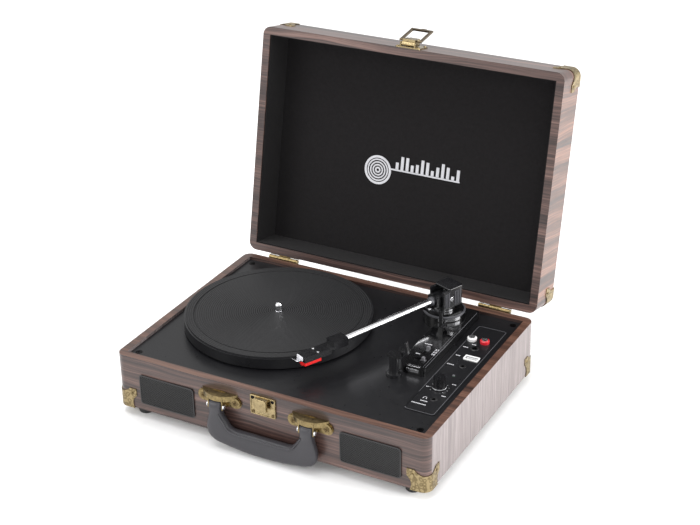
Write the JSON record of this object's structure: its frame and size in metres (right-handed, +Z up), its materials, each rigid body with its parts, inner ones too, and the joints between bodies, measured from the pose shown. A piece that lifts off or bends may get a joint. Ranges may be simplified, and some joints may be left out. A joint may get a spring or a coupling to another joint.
{
  "type": "suitcase record player",
  "caption": "Portable record player in a wooden suitcase: hinged lid with latch, carrying handle, belt-driven platter, pivoting tonearm, built-in speakers and a panel of sockets.",
  "frame": {"origin": "on the floor under the middle of the object's overall box, with the lid open", "axes": "+Z up from the soles of the feet, -Y towards the handle at the front, +X towards the tonearm side"},
  "size_m": [0.3478, 0.3642, 0.325],
  "materials": {
    "case_wood": "dark laminate veneer with a satin lacquer",
    "bottom_board": "plain hardboard",
    "foot_rubber": "matt rubber",
    "antique_brass": "aged satin brass plating",
    "pale_brass": "light satin brass plating",
    "dark_brass": "dark aged plating",
    "grille_metal": "satin black paint",
    "speaker_body": "matt black",
    "handle_plastic": "dark grey satin moulding",
    "bright_steel": "bright plated",
    "deck_plastic": "fine satin moulding",
    "gloss_black": "high gloss black",
    "polished_chrome": "polished",
    "platter_plastic": "satin black",
    "mat_rubber": "matt with fine ribs",
    "belt_rubber": "matt",
    "motor_can": "zinc plated",
    "pulley_brass": "turned brass",
    "circuit_board": "green solder mask",
    "white_socket": "white moulding",
    "usb_shell": "bright plated shell",
    "socket_black": "black moulding",
    "knob_plastic": "satin black",
    "switch_plastic": "pale moulding",
    "arm_plastic": "satin to gloss black",
    "stylus_plastic": "tinted moulding",
    "lining_cloth": "fine dark cloth"
  },
  "bodies": {
    "base": {"base_walls": "case_wood", "base_bottom": "bottom_board", "foot_front_left": "foot_rubber", "foot_front_right": "foot_rubber", "foot_back_left": "foot_rubber", "foot_back_right": "foot_rubber", "base_guard_front_left": "antique_brass", "base_guard_front_right": "antique_brass", "base_guard_back_left": "antique_brass", "base_guard_back_right": "antique_brass", "grille_left": "grille_metal", "grille_right": "grille_metal", "speaker_left": "speaker_body", "speaker_right": "speaker_body", "handle_bracket_left": "antique_brass", "handle_bracket_right": "antique_brass", "hinge_leaf_base_left": "antique_brass", "hinge_leaf_base_right": "antique_brass", "latch_keeper": "pale_brass", "handle_pins": "bright_steel", "case_screws": "antique_brass", "deck": "deck_plastic", "tonearm_platform": "gloss_black", "spindle": "polished_chrome", "drive_belt": "belt_rubber", "motor": "motor_can", "main_board": "circuit_board", "rca_sockets": "white_socket", "usb_socket": "usb_shell", "power_jack": "socket_black", "line_in_jack": "socket_black", "headphone_jack": "socket_black", "arm_rest": "arm_plastic"},
    "lid": {"lid_shell": "case_wood", "lid_lining": "lining_cloth", "latch_plate": "pale_brass", "lid_guard_front_left": "antique_brass", "lid_guard_front_right": "antique_brass", "lid_guard_back_left": "antique_brass", "lid_guard_back_right": "antique_brass", "hinge_leaf_lid_left": "antique_brass", "hinge_leaf_lid_right": "antique_brass"},
    "latch_lever": {"latch_lever": "pale_brass"},
    "latch_loop": {"latch_loop": "dark_brass"},
    "handle": {"handle": "handle_plastic"},
    "platter": {"platter": "platter_plastic", "platter_mat": "mat_rubber"},
    "pulley": {"motor_pulley": "pulley_brass"},
    "yoke": {"tonearm_yoke": "arm_plastic"},
    "tonearm": {"tonearm_block": "arm_plastic", "tonearm_tube": "polished_chrome", "headshell": "arm_plastic", "cartridge": "arm_plastic", "stylus": "stylus_plastic"},
    "lift_lever": {"lift_lever": "arm_plastic"},
    "lift_rod": {"lift_rod": "arm_plastic"},
    "arm_clip": {"arm_clip": "arm_plastic"},
    "speed_switch": {"speed_switch": "switch_plastic"},
    "auto_stop_switch": {"auto_stop_switch": "switch_plastic"},
    "volume_knob": {"volume_knob": "knob_plastic"}
  },
  "joints": [
    {"name": "lid_hinge", "type": "hinge", "parent": "base", "child": "lid", "pos_m": [0, 0.08529, 0.068], "axis": [1, 0, 0], "range_deg": [0, 101.8]},
    {"name": "latch_lever_hinge", "type": "hinge", "parent": "lid", "child": "latch_lever", "pos_m": [-0.0015, 0.14259, 0.31878], "axis": [-1, 0, 0], "range_deg": [-80, 0]},
    {"name": "latch_loop_hinge", "type": "hinge", "parent": "latch_lever", "child": "latch_loop", "pos_m": [-0.0015, 0.14735, 0.32106], "axis": [1, 0, 0], "range_deg": [0, 169]},
    {"name": "handle_hinge", "type": "hinge", "parent": "base", "child": "handle", "pos_m": [0, -0.17611, 0.0465], "axis": [-1, 0, 0], "range_deg": [0, 95]},
    {"name": "platter_spin", "type": "hinge", "parent": "base", "child": "platter", "pos_m": [-0.062, -0.03511, 0.074], "axis": [0, 0, 1], "continuous": true},
    {"name": "pulley_spin", "type": "hinge", "parent": "base", "child": "pulley", "pos_m": [-0.11574, 0.01863, 0.0698], "axis": [0, 0, 1], "continuous": true},
    {"name": "tonearm_swing", "type": "hinge", "parent": "base", "child": "yoke", "pos_m": [0.088, 0.04489, 0.082], "axis": [0, 0, 1], "range_deg": [-21, 23.5]},
    {"name": "tonearm_tilt", "type": "hinge", "parent": "yoke", "child": "tonearm", "pos_m": [0.088, 0.04489, 0.093], "axis": [-0.9265, 0.3762, 0], "range_deg": [0, 3]},
    {"name": "lift_lever_turn", "type": "hinge", "parent": "base", "child": "lift_lever", "pos_m": [0.103, 0.00889, 0.0776], "axis": [0, -1, 0], "range_deg": [0, 40]},
    {"name": "lift_rod_slide", "type": "slide", "parent": "base", "child": "lift_rod", "axis": [0, 0, 1], "range_m": [0, 0.0013]},
    {"name": "arm_clip_hinge", "type": "hinge", "parent": "base", "child": "arm_clip", "pos_m": [0.09896, -0.07607, 0.0917], "axis": [0, 1, 0], "range_deg": [-80, 0]},
    {"name": "speed_slide", "type": "slide", "parent": "base", "child": "speed_switch", "axis": [0, 1, 0], "range_m": [-0.0084, 0]},
    {"name": "auto_stop_slide", "type": "slide", "parent": "base", "child": "auto_stop_switch", "axis": [1, 0, 0], "range_m": [-0.005, 0]},
    {"name": "volume_turn", "type": "hinge", "parent": "base", "child": "volume_knob", "pos_m": [0.141, -0.07911, 0.0716], "axis": [0, 0, 1], "range_deg": [-140, 140]}
  ],
  "couplings": [
    {"joint": "pulley_spin", "follows": "platter_spin", "ratio": 10},
    {"joint": "lift_lever_turn", "follows": "tonearm_tilt", "ratio": 13.333},
    {"joint": "lift_rod_slide", "follows": "tonearm_tilt", "m_per_rad": 0.024828}
  ]
}
